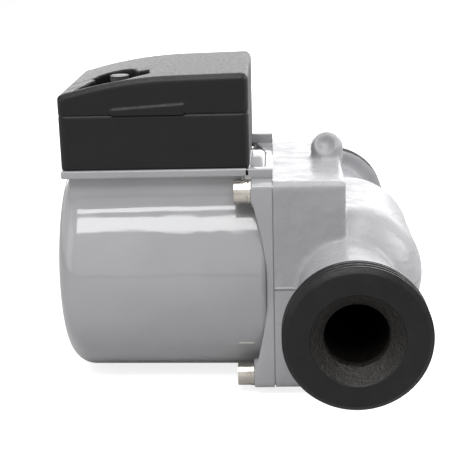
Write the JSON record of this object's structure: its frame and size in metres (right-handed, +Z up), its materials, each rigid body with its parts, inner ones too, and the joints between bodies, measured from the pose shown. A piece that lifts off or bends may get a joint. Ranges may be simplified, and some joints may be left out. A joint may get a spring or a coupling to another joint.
{
  "type": "circulation pump",
  "caption": "Wet-rotor heating circulation pump with grey cast housing, canned motor and black three-speed terminal box.",
  "frame": {"origin": "on the port axis, halfway along the inlet thread", "axes": "+Y along the port axis from inlet to outlet, +Z up towards the terminal box, motor towards -X"},
  "size_m": [0.1364, 0.1801, 0.1175],
  "materials": {
    "cast_iron_paint": "satin",
    "aluminium_paint": "gloss",
    "stainless": "satin",
    "stainless_screws": "polished",
    "impeller_plastic": "matte",
    "brass": "satin",
    "rubber": "matte",
    "ceramic_dark": "polished",
    "ceramic_white": "polished",
    "core_steel": "satin",
    "end_ring_aluminium": "satin",
    "copper_winding": "satin",
    "lead_insulation": "matte",
    "plate_aluminium": "satin",
    "black_plastic": "matte",
    "knob_plastic": "matte",
    "white_plastic": "matte",
    "gland_plastic": "matte"
  },
  "bodies": {
    "root": {"pump_housing": "cast_iron_paint", "neck_ring": "stainless", "bearing_plate": "stainless", "housing_gasket": "rubber", "front_bearing": "ceramic_dark", "rear_bearing": "ceramic_dark", "rotor_can": "stainless", "stator_core": "core_steel", "stator_windings": "copper_winding", "stator_leads": "lead_insulation", "stator_housing": "aluminium_paint", "nameplate": "plate_aluminium", "vent_o_ring": "rubber", "housing_screws": "stainless_screws", "spring_washers": "stainless_screws", "terminal_box_base": "black_plastic", "box_gasket": "rubber", "terminal_box_cover": "black_plastic", "box_screws": "stainless_screws", "speed_switch": "white_plastic", "capacitor": "white_plastic", "terminal_block": "white_plastic", "terminal_screws": "brass", "earth_screw": "brass", "gland_body": "gland_plastic", "gland_locknut": "gland_plastic", "gland_seal": "rubber", "gland_nut": "gland_plastic"},
    "rotor": {"impeller": "impeller_plastic", "impeller_shroud": "impeller_plastic", "split_cone": "brass", "thrust_bearing": "ceramic_dark", "thrust_collar": "rubber", "shaft": "ceramic_white", "rotor_core": "core_steel", "rotor_end_rings": "end_ring_aluminium", "rotor_sleeve": "stainless"},
    "vent": {"vent_screw": "brass"},
    "knob": {"speed_knob": "knob_plastic"}
  },
  "joints": [
    {"name": "rotor_spin", "type": "hinge", "parent": "root", "child": "rotor", "pos_m": [0, 0.08515, 0], "axis": [1, 0, 0], "continuous": true},
    {"name": "speed_knob_turn", "type": "hinge", "parent": "root", "child": "knob", "pos_m": [-0.08121, 0.07365, 0.0665], "axis": [0, 0, 1], "range_deg": [-45, 45]},
    {"name": "vent_screw_turn", "type": "hinge", "parent": "root", "child": "vent", "pos_m": [-0.1042, 0.08515, 0], "axis": [1, 0, 0], "range_deg": [0, 360]}
  ]
}
